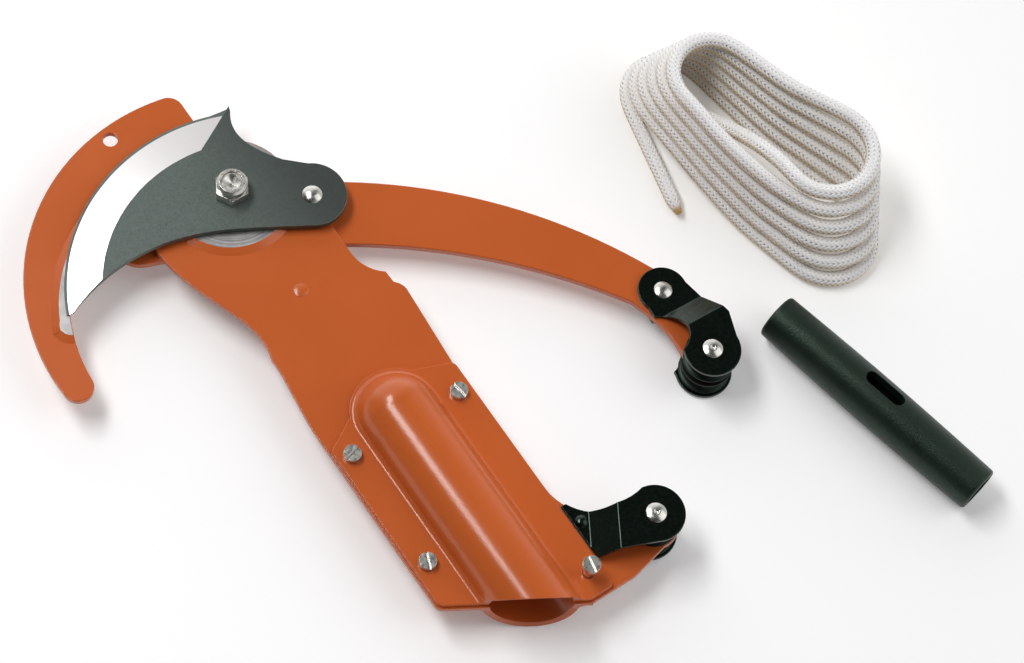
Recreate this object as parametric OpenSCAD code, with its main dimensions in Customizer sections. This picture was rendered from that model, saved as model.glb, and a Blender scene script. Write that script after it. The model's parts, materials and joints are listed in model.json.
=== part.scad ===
// Cutting head of a rope-operated tree pruner, with its rope hank and pull grip.
// It lies flat as on a table: +Z is the blade's side, the hook is at +Y, the lever at +X.
// The origin is on the pole axis at the socket mouth, and the pole leaves along -Y.

/* [Pole socket] */
// Diameter of the pole that the socket clamps
pole_d = 40; // [34:1:42]
// Socket length on its axis, from the mouth to the domed end
socket_len = 131; // [115:1:145]
// Slant of the socket mouth seen from above, in degrees
mouth_slant = 30; // [20:1:35]
// How far the body's half of the socket stands past the cover's half
mouth_lip = 1.5; // [0.5:0.5:4]
// Outward lean of the cover's mouth above its flanges, in degrees
cover_rake = 18; // [10:1:30]
// Outward lean of the body's mouth below its flanges, in degrees
trough_rake = 14; // [8:1:25]
// Half width of the clamping flanges
flange_half = 45; // [43:0.5:50]
// Radius of the crease between the channel and its flanges
crease_r = 4; // [2:0.5:5]
// Sheet thickness of the cover
cover_t = 3; // [2:0.5:4]
// Gap between the cover's edge and the body's edge
cover_inset = 1; // [0.5:0.25:3]

/* [Body plate] */
// Thickness of the body plate
plate_t = 4; // [3:0.5:6]
// Blade pivot, sideways from the pole axis
pivot_x = -5.5; // [-10:0.5:0]
// Blade pivot, along the pole axis from the socket mouth
pivot_y = 293.5; // [280:0.5:310]
// Radius of the ground boss round the pivot
boss_r = 35.5; // [32:0.5:37]
// Height of the ground boss and of the hook's ground strip above the plate
boss_h = 2; // [1:0.25:3]
// Width of the pressed slope round the ground faces
slope_w = 4.5; // [2:0.5:5]
// Shift of the ground boss from the pivot towards the hook
boss_shift = 2.2; // [0:0.2:3]
// Shoulder on the lever's side, sideways from the pole axis
shoulder_x = 47.5; // [44:0.5:52]
// Shoulder on the lever's side, along the pole axis
shoulder_y = 193; // [185:1:200]
// Radius of the hollow above the shoulder
hollow_r = 25; // [20:1:30]

/* [Hook] */
// Outer radius of the hook
hook_outer_r = 122; // [119:0.5:128]
// Radius of the hook's inner edge
hook_inner_r = 103; // [98:1:106]
// Root radius round the pivot where the throat ends
throat_root_r = 44; // [40:1:48]
// Radius at the end of the throat
throat_end_r = 7; // [4:1:9]
// Rounding of the hook's back corner
hook_corner_r = 9; // [4:1:12]
// Diameter of the hanging hole in the hook
hang_hole_d = 8.5; // [6:0.5:10]
// Radius of the ground strip's outer limit
strip_r = 94.5; // [93:0.5:99]

/* [Blade] */
// Thickness of the blade
blade_t = 4; // [3:0.5:5]
// Radius of the cutting edge
edge_r = 111.4; // [109:0.2:113]
// Width of the ground bevel
bevel_w = 21; // [15:1:25]
// Thickness left at the cutting edge
edge_t = 0.6; // [0.4:0.1:1]
// Radius of the blade's round end at its rivet
blade_end_r = 20; // [17:0.5:22]

/* [Lever] */
// Thickness of the lever
lever_t = 5; // [4:0.5:6]
// Radius of the lever's eye round the pivot
lever_eye_r = 30; // [26:1:34]
// Radius of the tail lobe that the spring pulls
tail_r = 18; // [14:1:20]
// Radius of the lever's end at the strap rivet
lever_end_r = 14.5; // [12:0.5:16]
// Radius of the lever's nose at the pulley axle
lever_nose_r = 12; // [10:0.5:13.5]
// Radius of the lever's upper edge
lever_top_r = 327; // [290:1:370]
// Radius of the lever's lower edge
lever_low_r = 385; // [345:1:425]

/* [Pulleys and straps] */
// Outer radius of the pulleys
pulley_r = 15; // [13:0.5:15.5]
// Width of the pulleys
pulley_w = 11; // [10.5:0.5:13]
// Diameter of the pulley axles
axle_d = 8; // [6:0.5:9]
// Thickness of the straps
strap_t = 2.5; // [2:0.5:3]
// End radius of the straps at the axles
strap_end_r = 16.5; // [16:0.5:18]
// Diameter of the strap rivets
strap_rivet_d = 6; // [5:0.5:7]
// Length of the slope that lifts a strap over its pulley
ramp_run = 14.5; // [13:0.5:16]
// Length of the ear from the flange edge to the lower axle
ear_reach = 39; // [36:1:44]
// Lower axle, along the pole axis
ear_y = 3; // [0:1:8]

/* [Fasteners] */
// Diameter of the pivot bolt
pivot_d = 12; // [10:0.5:12]
// Width across flats of the pivot nut and bolt head
pivot_af = 18; // [17:0.5:20]
// Height of the pivot nut's hexagon
nut_hex_h = 6.5; // [5:0.5:8]
// Height of the pivot nut's round collar
nut_collar_h = 5.8; // [4:0.2:7]
// Height of the pivot bolt's head
bolt_head_h = 7.5; // [6:0.5:8]
// Thickness of the washer under the bolt head
washer_t = 2; // [1:0.5:2.5]
// Diameter of the clamping screws
screw_d = 6; // [5:0.5:6.5]
// Diameter of the clamping screws' heads
screw_head_d = 10; // [9:0.5:11]
// Height of the clamping screws' heads
screw_head_h = 3.9; // [3:0.1:5]
// Distance of the clamping screws from the pole axis
screw_x = 35.5; // [34.5:0.5:37]
// Row of the upper clamping screws, along the pole axis
screw_top_y = 123; // [115:1:126]
// Lower screw on the hook's side, along the pole axis
screw_low_y = 49; // [40:1:60]
// Rope anchor screw on the lever's side, along the pole axis
anchor_y = -3; // [-5:1:10]
// How far the rope anchor screw's head stands above the cover
anchor_proud = 11; // [6:1:16]
// Diameter of the blade rivet
blade_rivet_d = 8; // [7:0.5:9]
// Radius of the spacer on the blade rivet
spacer_r = 7; // [6:0.5:7.5]

/* [Return spring] */
// Wire diameter of the spring
wire_d = 1.6; // [1.2:0.1:1.8]
// Mean radius of the spring's curls
coil_r = 3.7; // [3.2:0.1:4.2]
// Number of curls
curls = 22; // [16:1:24]
// Diameter of the two spring posts
post_d = 5; // [4:0.5:6]

/* [Rope and grip] */
// Diameter of the rope
rope_d = 9; // [7:0.5:9]
// Loops of the rope hank
loops = 6; // [3:1:7]
// Radius of the loops round their near end
loop_r = 28; // [27:1:33]
// How far the climbing side of the loops bulges
loop_bulge = 4; // [0:0.5:6]
// How far the other side of the loops is drawn in
loop_pinch = 4; // [0:0.5:6]
// Straight run of the lowest loop
hank_run = 130; // [120:1:140]
// Lean of the lowest loop against the pole axis, in degrees
hank_lean = 11.5; // [5:0.1:15]
// Length of the rope's free end beside the hank
rope_tail = 76; // [40:1:90]
// How far the rope's free end points out from the hank, in degrees
rope_splay = 24; // [15:1:35]
// Length of the pull grip
grip_len = 153; // [130:1:180]
// Radius of the pull grip at its ends
grip_end_r = 13.8; // [13:0.1:15]
// Radius of the pull grip at its middle
grip_mid_r = 14.8; // [14:0.1:17]
// Radius of the grip's bore
grip_bore_r = 10; // [8:0.5:11]
// Length of the rope slot in the grip
grip_slot_len = 27; // [18:1:40]
// Turn of the rope slot above the horizontal, in degrees
grip_slot_up = 75; // [0:5:90]
// Width of the rope slot in the grip
grip_slot_w = 9; // [8:0.5:11]

/* [Clearances] */
// Radial running clearance of a pin in its bore
run_fit = 0.05; // [0.02:0.01:0.1]
// Gap between flat faces that slide past each other
slide_gap = 0.3; // [0.2:0.05:0.5]
// Radial clearance of a fastener in its hole
hole_fit = 0.1; // [0.05:0.05:0.3]
// Least gap between neighbouring loops of the rope
rope_gap = 0.8; // [0.6:0.1:1.5]

/* [Hidden] */
$fn = 96;
paint = [0.78, 0.36, 0.18];
black = [0.07, 0.09, 0.08];
steel = [0.75, 0.76, 0.76];

// Levels, measured from the joint face between the socket's two halves
pole_r = pole_d / 2;
lever_top = -plate_t - slide_gap;
lever_low = lever_top - lever_t;
blade_low = boss_h + slide_gap;
blade_top = blade_low + blade_t;
nut_low = blade_top + slide_gap;
nut_top = nut_low + nut_hex_h + nut_collar_h;
washer_top = lever_low - slide_gap;
bolt_low = washer_top - washer_t - bolt_head_h;
strap_rise = pulley_w + 2 * slide_gap;
floor_z = min(-pole_r - plate_t, lever_low - strap_rise - strap_t);

// Main points of the head, seen from above
pivot = [pivot_x, pivot_y];
hook_c = pivot + [-21.8, -46];
hook_tip_y = pivot_y - 55.5;
inner_c = pivot + [-23, -60.5];
strip_c = pivot + [-37.2, -56.5];
hook_back_x = pivot_x + 7.5;
hang_hole = pivot + [-39.5, 66.5];
strip_end_y = pivot_y - 22;
edge_c = [-15, -58.2];
blade_rivet_at = [38, -25.5];
spring_foot = [-4, 223];
tail = [-56, 7];
tail_post = [-48, 0];
upper_rivet = [173, 115];
upper_axle_at = [171, 67];
lower_rivet = [flange_half + 5, ear_y + 20.5];
lower_axle_at = [flange_half + ear_reach, ear_y];
ear_hollow_r = 33;
ear_end_r = strap_end_r - 1;
channel_foot = pole_r + plate_t + crease_r;
// How far the flanges are drawn past the mouth before it is cut
mouth_run = 0.8 * flange_half;
cover_right = flange_half - cover_inset;
strap_start_x = flange_half + slide_gap;
screw_places = [[-screw_x, screw_top_y], [screw_x, screw_top_y], [-screw_x, screw_low_y]];
anchor_place = [screw_x, anchor_y];
washer_r = 12;
screw_nut_h = 5;
screw_nut_af = 10;
screw_tail = 3;
rivet_head_r = 6;
rivet_head_h = 2.2;
small_head_r = 5.5;
small_head_h = 1.6;
upper_ramp = lever_end_r + 0.5;
lower_ramp = small_head_r - 0.5;

// Points along an arc, and along a cubic curve
function arc(c, r, a0, a1, n) =
  [for (i = [0:n]) let (a = a0 + (a1 - a0) * i / n) c + r * [cos(a), sin(a)]];
function cubic(p, n) =
  [for (i = [0:n]) let (t = i / n, u = 1 - t)
    u * u * u * p[0] + 3 * u * u * t * p[1] + 3 * u * t * t * p[2] + t * t * t * p[3]];
// Crossing of two circles, on the right of the way from the first centre to the second
function crossing(c0, r0, c1, r1) =
  let (v = c1 - c0, d = norm(v), u = v / d)
  let (along = (r0 * r0 - r1 * r1 + d * d) / (2 * d), across = sqrt(r0 * r0 - along * along))
  c0 + along * u + across * [u[1], -u[0]];
function unit(v) = v / norm(v);
function bearing(v) = atan2(v[1], v[0]);

// The socket mouth is cut along a slanted line that ends level below the lever's flange
function mouth_at(x, lip) = -x * tan(mouth_slant) - lip;
// Flange edge before the mouth is cut: round corner at x = -left, then straight down and across
function mouth_edge(left, lip) =
  let (r = 6, x = -left + r, y = (r - sin(mouth_slant) * x) / cos(mouth_slant) - lip - 0.05)
  let (corner = arc([x, y], r, 180, 270 - mouth_slant, 6), foot_x = channel_foot + 0.5)
  concat(corner, [[corner[6][0], -mouth_run], [foot_x, -mouth_run], [foot_x, mouth_at(channel_foot, lip)]]);

module at_pivot() {
  translate([pivot_x, pivot_y, 0]) children();
}

// Low round rivet head standing on z = 0
module dome(r, h) {
  ball = (r * r + h * h) / (2 * h);
  intersection() {
    translate([0, 0, h - ball]) sphere(ball);
    cylinder(r = r, h = h);
  }
}

module ring(outer_r, inner_r, h) {
  difference() {
    cylinder(r = outer_r, h = h);
    translate([0, 0, -1]) cylinder(r = inner_r, h = h + 2);
  }
}

module hexagon(af, h) {
  cylinder(d = af / cos(30), h = h, $fn = 6);
}

// Rivet through a stack of plates, with a head on each side
module rivet(d, low, high, head_r, head_h) {
  translate([0, 0, low]) cylinder(d = d, h = high - low);
  translate([0, 0, high]) dome(head_r, head_h);
  translate([0, 0, low]) mirror([0, 0, 1]) dome(head_r, head_h);
}

// Socket channel

// Half of the channel's cross section, with the filleted crease at its foot
module channel_half(r, sheet) {
  lift = sheet + crease_r;
  reach = sqrt(pow(r + crease_r, 2) - lift * lift);
  intersection() {
    circle(r);
    square(r);
  }
  difference() {
    polygon([[0, 0], [reach, 0], [reach, lift]]);
    translate([reach, lift]) circle(crease_r);
  }
}

// Raised half-round channel with a domed end
module channel(r, sheet) {
  run = socket_len + flange_half;
  translate([0, socket_len, 0]) rotate([90, 0, 0]) linear_extrude(run) {
    channel_half(r, sheet);
    mirror([1, 0]) channel_half(r, sheet);
  }
  translate([0, socket_len, 0]) rotate_extrude(angle = 180) channel_half(r, sheet);
}

module socket_bore() {
  translate([0, socket_len, 0]) rotate([90, 0, 0]) cylinder(r = pole_r, h = socket_len + flange_half);
  translate([0, socket_len, 0]) sphere(pole_r);
}

// Everything in front of the slanted mouth: upright up to its foot, leaning out above it
module mouth_cut(lip, foot, rake) {
  high = 2 * pole_d;
  translate([0, -lip, 0]) rotate(-mouth_slant) rotate([90, 0, 90])
    linear_extrude(4 * flange_half, center = true) polygon([
      [0, -high],
      [0, foot],
      [-high * tan(rake), foot + high],
      [-3 * high, foot + high],
      [-3 * high, -high]
    ]);
}

// Hook and body plate

// Body from the ear and the socket up to the pivot
function body_outline() =
  let (right_x = flange_half, low_y = mouth_at(channel_foot, mouth_lip))
  concat(
    mouth_edge(flange_half, mouth_lip),
    [[lower_axle_at[0] - 1.7 * ear_end_r, low_y]],
    arc(lower_axle_at, ear_end_r, -98, 92, 24),
    arc([right_x + ear_hollow_r, ear_y + ear_end_r + ear_hollow_r], ear_hollow_r, 272, 180, 20),
    [[right_x - 1, socket_len + 10]],
    arc([shoulder_x - 10, shoulder_y - 1], 10, -4, 52, 8),
    arc([shoulder_x - 14.5 + hollow_r, shoulder_y + 35], hollow_r, 234, 180, 12),
    [[shoulder_x - 14, shoulder_y + 60], pivot + [22, -28], pivot, pivot + [-42, 12]],
    arc(pivot + [-51.5, -7], 3, 120, 180, 4),
    cubic([pivot + [-54.5, -9], pivot + [-52, -47], [-32, 222], [-41, 196]], 16),
    cubic([[-41, 190], [-41, 180], [-flange_half, 160], [-flange_half, 140]], 10)
  );

// Centre of the round end of the throat: inside the hook's inner edge and outside the pivot's root
function throat_end() =
  crossing(pivot, throat_root_r + throat_end_r, inner_c, hook_inner_r - throat_end_r);

module throat() {
  end = throat_end();
  difference() {
    translate(inner_c) circle(hook_inner_r, $fn = 240);
    translate(pivot) circle(throat_root_r);
    polygon([pivot, end, end + 60 * unit(end - inner_c), pivot + [120, 120], pivot + [120, -120]]);
  }
  translate(end) circle(throat_end_r);
}

module hook_shape() {
  tip_in = inner_c[0] - sqrt(pow(hook_inner_r, 2) - pow(hook_tip_y - inner_c[1], 2));
  tip_out = hook_c[0] - sqrt(pow(hook_outer_r, 2) - pow(hook_tip_y - hook_c[1], 2));
  corner = [hook_back_x - hook_corner_r, 0];
  corner_y = hook_c[1] + sqrt(pow(hook_outer_r - hook_corner_r, 2) - pow(corner[0] - hook_c[0], 2));
  difference() {
    intersection() {
      translate(hook_c) circle(hook_outer_r, $fn = 240);
      translate([hook_back_x - 2 * hook_outer_r, hook_tip_y]) square(2 * hook_outer_r);
    }
    throat();
    difference() {
      translate([corner[0], corner_y]) square(2 * hook_corner_r);
      translate([corner[0], corner_y]) circle(hook_corner_r);
    }
  }
  translate([(tip_in + tip_out) / 2, hook_tip_y]) circle((tip_in - tip_out) / 2);
}

module plate_shape() {
  polygon(body_outline());
  hook_shape();
  translate(pivot) circle(boss_r);
}

// Ground boss that the blade turns on, pressed up with a sloped rim
module ground_boss() {
  intersection() {
    at_pivot() translate([0, boss_shift, 0]) cylinder(r1 = boss_r + slope_w, r2 = boss_r, h = boss_h);
    linear_extrude(2 * boss_h) plate_shape();
  }
}

// Ground strip along the hook's inner edge, ending in a quarter round
module ground_strip() {
  rise = strip_end_y - inner_c[1];
  end_x = inner_c[0] - sqrt(pow(hook_inner_r, 2) - rise * rise);
  end_w = end_x - strip_c[0] + sqrt(pow(strip_r, 2) - pow(strip_end_y - strip_c[1], 2));
  difference() {
    union() {
      intersection() {
        translate([strip_c[0], strip_c[1], 0])
          cylinder(r1 = strip_r + slope_w, r2 = strip_r, h = boss_h, $fn = 240);
        translate([hook_c[0] - hook_outer_r, strip_end_y, 0]) cube([2 * hook_outer_r, hook_outer_r, boss_h]);
      }
      translate([end_x, strip_end_y, 0]) cylinder(r1 = end_w + slope_w, r2 = end_w, h = boss_h);
    }
    translate([inner_c[0], inner_c[1], -1]) cylinder(r = hook_inner_r, h = 4 * boss_h, $fn = 240);
  }
}

module hook_plate() {
  color(paint) difference() {
    union() {
      translate([0, 0, -plate_t]) linear_extrude(plate_t) plate_shape();
      ground_boss();
      ground_strip();
      mirror([0, 0, 1]) channel(pole_r + plate_t, plate_t);
    }
    mirror([0, 0, 1]) mouth_cut(mouth_lip, plate_t + crease_r, trough_rake);
    socket_bore();
    at_pivot() cylinder(d = pivot_d + 2 * hole_fit, h = 8 * plate_t, center = true);
    translate([hang_hole[0], hang_hole[1], 0]) cylinder(d = hang_hole_d, h = 8 * plate_t, center = true);
    translate([spring_foot[0], spring_foot[1], 0])
      cylinder(d = post_d + 2 * hole_fit, h = 8 * plate_t, center = true);
    for (p = concat(screw_places, [anchor_place]))
      translate([p[0], p[1], 0]) cylinder(d = screw_d + 2 * hole_fit, h = 8 * plate_t, center = true);
    translate([lower_rivet[0], lower_rivet[1], 0])
      cylinder(d = strap_rivet_d + 2 * hole_fit, h = 8 * plate_t, center = true);
    translate([lower_axle_at[0], lower_axle_at[1], 0])
      cylinder(d = axle_d + 2 * hole_fit, h = 8 * plate_t, center = true);
  }
}

// Cover and its fasteners

module cover_shape() {
  dome_foot = pole_r + cover_t + crease_r;
  left = flange_half - cover_inset;
  low_y = mouth_at(channel_foot, 0);
  polygon(concat(
    mouth_edge(left, 0),
    arc([cover_right - 3, low_y + 3], 3, 270, 360, 5),
    arc([cover_right - 4, socket_len + 6], 4, 0, 75, 5),
    [[dome_foot * cos(40), socket_len + dome_foot * sin(40)]],
    [[-dome_foot * cos(25), socket_len + dome_foot * sin(25)]],
    arc([-left + 4, socket_len - 2], 4, 120, 180, 5)
  ));
  translate([0, socket_len]) circle(dome_foot);
}

module socket_cover() {
  color(paint) difference() {
    union() {
      linear_extrude(cover_t) cover_shape();
      channel(pole_r + cover_t, cover_t);
    }
    mouth_cut(0, cover_t + crease_r, cover_rake);
    socket_bore();
    for (p = concat(screw_places, [anchor_place]))
      translate([p[0], p[1], -1]) cylinder(d = screw_d + 2 * hole_fit, h = 4 * cover_t);
  }
}

// Slotted cheese-head screw, head on z = 0, with its slot turned
module slotted_screw(shank, turn) {
  translate([0, 0, -shank]) cylinder(d = screw_d, h = shank);
  difference() {
    cylinder(d = screw_head_d, h = screw_head_h);
    rotate(turn) translate([0, 0, screw_head_h]) cube([2 * screw_head_d, 1.6, screw_head_h], center = true);
  }
}

module cover_screws() {
  shank = cover_t + plate_t + screw_nut_h + screw_tail;
  turns = [15, 100, 70];
  color(steel) for (i = [0:2])
    translate([screw_places[i][0], screw_places[i][1], cover_t]) slotted_screw(shank, turns[i]);
}

module anchor_screw() {
  shank = anchor_proud + cover_t + plate_t + screw_nut_h + screw_tail;
  color(steel) translate([anchor_place[0], anchor_place[1], cover_t + anchor_proud]) slotted_screw(shank, 80);
}

module cover_nuts() {
  color(steel) for (p = concat(screw_places, [anchor_place]))
    translate([p[0], p[1], -plate_t - screw_nut_h]) difference() {
      hexagon(screw_nut_af, screw_nut_h);
      translate([0, 0, -1]) cylinder(d = screw_d + 2 * hole_fit, h = screw_nut_h + 2);
    }
}

// Pivot

module pivot_bolt() {
  color(steel) at_pivot() difference() {
    union() {
      translate([0, 0, bolt_low]) hexagon(pivot_af, bolt_head_h);
      translate([0, 0, bolt_low]) cylinder(d = pivot_d, h = nut_top - 1 - bolt_low);
    }
    translate([0, 0, nut_top - 3.5]) cylinder(d1 = 0.5, d2 = pivot_d - 2, h = 2.6);
  }
}

module pivot_washer() {
  color(steel) at_pivot() translate([0, 0, washer_top - washer_t]) ring(washer_r, pivot_d / 2 + hole_fit, washer_t);
}

module pivot_nut() {
  collar_r = pivot_af / 2 - 0.3;
  color(steel) at_pivot() translate([0, 0, nut_low]) difference() {
    union() {
      hexagon(pivot_af, nut_hex_h);
      cylinder(r = collar_r, h = nut_hex_h + nut_collar_h - 1.5);
      translate([0, 0, nut_hex_h + nut_collar_h - 1.5]) cylinder(r1 = collar_r, r2 = collar_r - 1.2, h = 1.5);
    }
    translate([0, 0, -1]) cylinder(d = pivot_d + 2 * hole_fit, h = nut_hex_h + nut_collar_h + 2);
  }
}

// Blade, drawn from its pivot

function blade_outline() = concat(
  arc(edge_c, edge_r, 158, 74, 48),
  [[28, 47.5]],
  cubic([[27, 44], [20, 34], [20, 22], [36, 2]], 14),
  arc(blade_rivet_at, blade_end_r, 64, -110, 30),
  [[0, -27]],
  cubic([[-4, -25], [-45, -2], [-80, -2], [-115, -17.5]], 20)
);

module blade_bevel() {
  drop = (blade_t - edge_t) / bevel_w;
  over = 4;
  intersection() {
    translate([edge_c[0], edge_c[1], 0]) rotate_extrude($fn = 240) polygon([
      [edge_r - bevel_w, blade_t],
      [edge_r + over, edge_t - over * drop],
      [edge_r + over, blade_t + 1],
      [edge_r - bevel_w, blade_t + 1]
    ]);
    translate([0, 0, -1]) linear_extrude(blade_t + 3)
      polygon([[0, 31.5], [29, 48], [29, 70], [-140, 70], [-140, -40], [-60, -40]]);
  }
}

module blade() {
  color([0.37, 0.41, 0.39]) at_pivot() translate([0, 0, blade_low]) difference() {
    linear_extrude(blade_t) polygon(blade_outline());
    blade_bevel();
    cylinder(d = pivot_d + 2 * run_fit, h = 4 * blade_t, center = true);
    translate([blade_rivet_at[0], blade_rivet_at[1], 0])
      cylinder(d = blade_rivet_d + 2 * hole_fit, h = 4 * blade_t, center = true);
  }
}

module blade_rivet() {
  color(steel) at_pivot() translate([blade_rivet_at[0], blade_rivet_at[1], 0])
    rivet(blade_rivet_d, lever_low, blade_top, rivet_head_r, rivet_head_h);
}

module rivet_spacer() {
  color(steel) at_pivot() translate([blade_rivet_at[0], blade_rivet_at[1], lever_top])
    ring(spacer_r, blade_rivet_d / 2 + hole_fit, blade_low - lever_top);
}

// Lever

// Centres of the lever's two edges, from the points that each edge joins
lever_top_c = crossing(pivot + lever_eye_r * [cos(11.3), -sin(11.3)], lever_top_r,
  upper_rivet + [4.5, lever_end_r + 0.2], lever_top_r);
lever_low_c = crossing(pivot + [-12.8, -lever_eye_r - 0.3], lever_low_r,
  upper_rivet + [-18.8, 4.2], lever_low_r);

// Outline from the eye along the top edge, round the nose and back to the tail lobe,
// whose straight flanks touch both its own round and the eye
function lever_outline() =
  let (start = crossing(lever_top_c, lever_top_r, pivot, lever_eye_r))
  let (out = bearing(tail) + 360, spread = acos((lever_eye_r - tail_r) / norm(tail)))
  concat(
    arc(lever_top_c, lever_top_r, bearing(start - lever_top_c),
      bearing(upper_rivet + [4, lever_end_r] - lever_top_c), 24),
    arc(upper_rivet, lever_end_r, 70, -10, 10),
    cubic([upper_rivet + [lever_end_r, -6], upper_rivet + [14, -20], upper_axle_at + [lever_nose_r + 2, 14],
      upper_axle_at + [lever_nose_r, 2]], 10),
    arc(upper_axle_at, lever_nose_r, 0, -180, 16),
    cubic([upper_axle_at + [-lever_nose_r, 2], upper_axle_at + [-lever_nose_r + 2, 18], upper_rivet + [-10, -20],
      upper_rivet + [-18, 2]], 10),
    arc(lever_low_c, lever_low_r, bearing(upper_rivet + [-19, 4] - lever_low_c), bearing(pivot - lever_low_c), 24),
    [pivot + lever_eye_r * [cos(out + spread), sin(out + spread)]],
    arc(pivot + tail, tail_r, out + spread, out - spread, 20),
    arc(pivot, lever_eye_r, out - spread - 360, bearing(start - pivot), 20)
  );

module lever() {
  color(paint) difference() {
    translate([0, 0, lever_low]) linear_extrude(lever_t) polygon(lever_outline());
    at_pivot() {
      cylinder(d = pivot_d + 2 * run_fit, h = 8 * lever_t, center = true);
      translate([blade_rivet_at[0], blade_rivet_at[1], 0])
        cylinder(d = blade_rivet_d + 2 * hole_fit, h = 8 * lever_t, center = true);
      translate([tail_post[0], tail_post[1], 0])
        cylinder(d = post_d + 2 * hole_fit, h = 8 * lever_t, center = true);
    }
    translate([upper_rivet[0], upper_rivet[1], 0])
      cylinder(d = strap_rivet_d + 2 * hole_fit, h = 8 * lever_t, center = true);
    translate([upper_axle_at[0], upper_axle_at[1], 0])
      cylinder(d = axle_d + 2 * hole_fit, h = 8 * lever_t, center = true);
  }
}

// Straps: flat at the rivet, joggled up and flat again over the pulley

// Side view of a strap from its rivet outwards, extruded across
module joggle(ramp_start) {
  far = 120;
  ramp_end = ramp_start + ramp_run;
  shift = strap_t * tan(atan(strap_rise / ramp_run) / 2);
  rotate([90, 0, 0]) linear_extrude(far, center = true) polygon([
    [-far, 0],
    [ramp_start, 0],
    [ramp_end, strap_rise],
    [far, strap_rise],
    [far, strap_rise + strap_t],
    [ramp_end - shift, strap_rise + strap_t],
    [ramp_start - shift, strap_t],
    [-far, strap_t]
  ]);
}

// Strap with its base face on z = 0; the child is its outline seen from above
module strap(rivet_at, axle_at, ramp_start) {
  difference() {
    intersection() {
      linear_extrude(4 * strap_rise) children();
      translate([rivet_at[0], rivet_at[1], 0]) rotate(bearing(axle_at - rivet_at)) joggle(ramp_start);
    }
    translate([rivet_at[0], rivet_at[1], -1]) cylinder(d = strap_rivet_d + 2 * hole_fit, h = 4 * strap_rise);
    translate([axle_at[0], axle_at[1], -1]) cylinder(d = axle_d + 2 * hole_fit, h = 4 * strap_rise);
  }
}

module upper_strap_shape() {
  difference() {
    union() {
      translate(upper_rivet) circle(lever_end_r);
      translate(upper_axle_at) circle(strap_end_r);
      polygon([
        upper_rivet + lever_end_r * [cos(30), sin(30)],
        upper_rivet + lever_end_r * [cos(200), sin(200)],
        upper_axle_at + strap_end_r * [cos(190), sin(190)],
        upper_axle_at + strap_end_r * [cos(-35), sin(-35)],
        upper_axle_at + [strap_end_r + 5.5, 14]
      ]);
    }
    translate((upper_rivet + upper_axle_at) / 2 + [-19, -1]) circle(15);
  }
}

module lower_strap_shape() {
  difference() {
    union() {
      translate(lower_axle_at) circle(strap_end_r);
      polygon([
        [strap_start_x, lower_rivet[1] + 13.5],
        [strap_start_x, mouth_at(channel_foot, 0) + 17],
        lower_axle_at + strap_end_r * [cos(-105), sin(-105)],
        lower_axle_at + strap_end_r * [cos(80), sin(80)],
        lower_axle_at + [-17, strap_end_r + 4],
        lower_rivet + [6, 13]
      ]);
    }
    translate([flange_half + ear_hollow_r, ear_y + ear_end_r + ear_hollow_r]) circle(ear_hollow_r);
  }
}

module upper_strap_front() {
  color(black) translate([0, 0, lever_top]) strap(upper_rivet, upper_axle_at, upper_ramp) upper_strap_shape();
}

module upper_strap_back() {
  color(black) translate([0, 0, lever_low]) mirror([0, 0, 1])
    strap(upper_rivet, upper_axle_at, upper_ramp) upper_strap_shape();
}

module lower_strap_front() {
  color(black) strap(lower_rivet, lower_axle_at, lower_ramp) lower_strap_shape();
}

module lower_strap_back() {
  color(black) translate([0, 0, -plate_t]) mirror([0, 0, 1])
    strap(lower_rivet, lower_axle_at, lower_ramp) lower_strap_shape();
}

module upper_strap_rivet() {
  color(steel) translate([upper_rivet[0], upper_rivet[1], 0])
    rivet(strap_rivet_d, lever_low - strap_t, lever_top + strap_t, small_head_r, small_head_h);
}

module lower_strap_rivet() {
  color(steel) translate([lower_rivet[0], lower_rivet[1], 0])
    rivet(strap_rivet_d, -plate_t - strap_t, strap_t, small_head_r - 1.5, small_head_h);
}

// Axle through both straps, with a dimpled head on top and flush below
module axle(at, low, high) {
  color(steel) translate([at[0], at[1], low]) difference() {
    union() {
      cylinder(d = axle_d, h = high - low);
      translate([0, 0, high - low]) dome(rivet_head_r, small_head_h);
    }
    translate([0, 0, high - low + small_head_h - 1]) cylinder(d1 = 1, d2 = axle_d / 2, h = 1.2);
  }
}

module upper_axle() {
  axle(upper_axle_at, lever_low - strap_rise - strap_t, lever_top + strap_rise + strap_t);
}

module lower_axle() {
  axle(lower_axle_at, -plate_t - strap_rise - strap_t, strap_rise + strap_t);
}

// Rope pulley standing on z = 0
module pulley() {
  groove_r = rope_d / 2 + hole_fit;
  color([0.12, 0.13, 0.13]) rotate_extrude() difference() {
    translate([axle_d / 2 + run_fit, 0]) square([pulley_r - axle_d / 2 - run_fit, pulley_w]);
    translate([pulley_r + 0.5, pulley_w / 2]) circle(groove_r);
  }
}

module upper_pulley_front() {
  translate([upper_axle_at[0], upper_axle_at[1], lever_top + slide_gap]) pulley();
}

module upper_pulley_back() {
  translate([upper_axle_at[0], upper_axle_at[1], lever_low - slide_gap - pulley_w]) pulley();
}

module lower_pulley_front() {
  translate([lower_axle_at[0], lower_axle_at[1], slide_gap]) pulley();
}

module lower_pulley_back() {
  translate([lower_axle_at[0], lower_axle_at[1], -plate_t - slide_gap - pulley_w]) pulley();
}

// Return spring below the lever, between a post on the body and a post on the lever's tail

hook_ring_r = post_d / 2 + wire_d / 2 + slide_gap;
hook_z = lever_low - 3;
coil_z = hook_z - coil_r;
post_low = hook_z - wire_d / 2 - 2;
post_flange_r = post_d / 2 + 1.6;

// Post hanging below a plate, with a flange that keeps the spring's end on it
module post(low_face) {
  translate([0, 0, post_low]) cylinder(d = post_d, h = low_face - post_low);
  translate([0, 0, post_low]) cylinder(r = post_flange_r, h = 1.2);
}

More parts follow.
